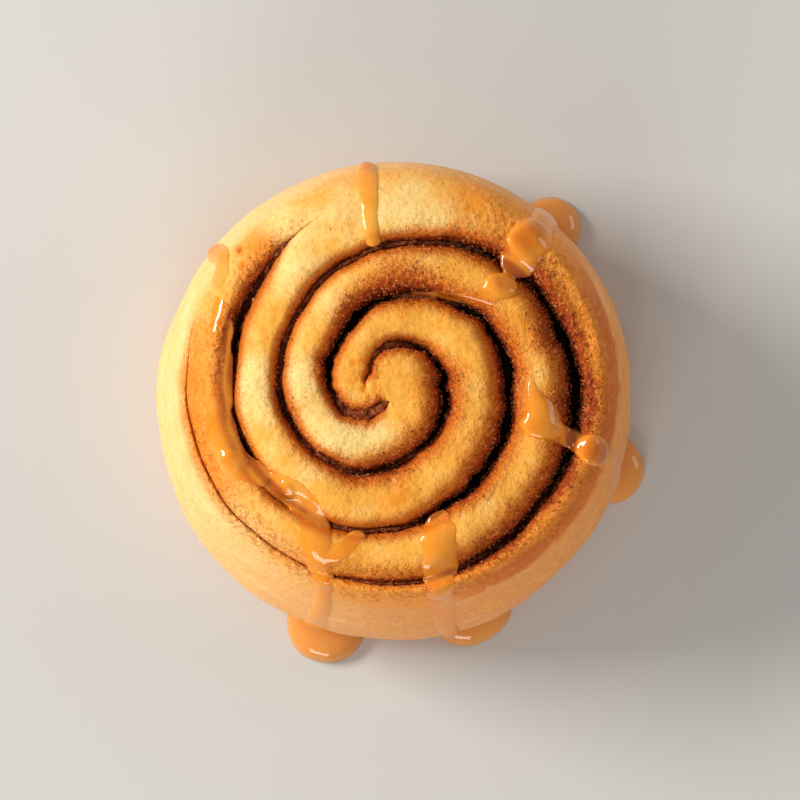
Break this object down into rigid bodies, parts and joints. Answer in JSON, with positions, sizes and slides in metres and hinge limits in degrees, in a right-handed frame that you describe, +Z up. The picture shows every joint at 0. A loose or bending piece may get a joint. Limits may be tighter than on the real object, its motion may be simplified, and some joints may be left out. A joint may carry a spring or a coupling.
{
  "type": "cinnamon roll",
  "caption": "Round baked cinnamon roll: a double spiral of dough with cinnamon filling in its grooves and caramel drizzle that runs down the side into pools.",
  "frame": {"origin": "centre of the roll's round outline, on the flat base that it rests on", "axes": "+Z up; +Y is the top of the picture seen from above and +X its right"},
  "size_m": [0.1128, 0.1158, 0.0482],
  "materials": {
    "dough": null,
    "cinnamon": null,
    "caramel": null
  },
  "bodies": {
    "root": {"dough": "dough", "cinnamon_filling_a": "cinnamon", "cinnamon_filling_b": "cinnamon"}
  },
  "joints": []
}
